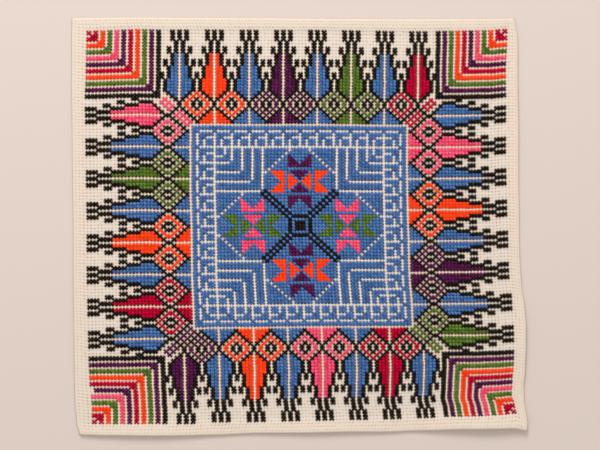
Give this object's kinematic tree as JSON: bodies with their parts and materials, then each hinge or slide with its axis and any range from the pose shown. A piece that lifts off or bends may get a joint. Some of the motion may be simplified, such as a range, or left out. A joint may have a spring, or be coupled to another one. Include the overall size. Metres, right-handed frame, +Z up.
{
  "type": "tatreez embroidery",
  "caption": "Hemmed square of even-weave cotton, cross-stitched in the tatreez manner, lying flat face up with its near edge and one corner lifted a little.",
  "frame": {"origin": "on the surface that the cloth lies on, under the middle of its outline", "axes": "+X to the right along the longer way of the cloth, +Y away from the viewer across it, +Z up from the surface, out of the stitched face"},
  "size_m": [0.3074, 0.282, 0.0058],
  "materials": {
    "cloth": "matt even-weave cotton, covered with matt cotton stitches"
  },
  "bodies": {
    "root": {"cloth": "cloth"}
  },
  "joints": []
}
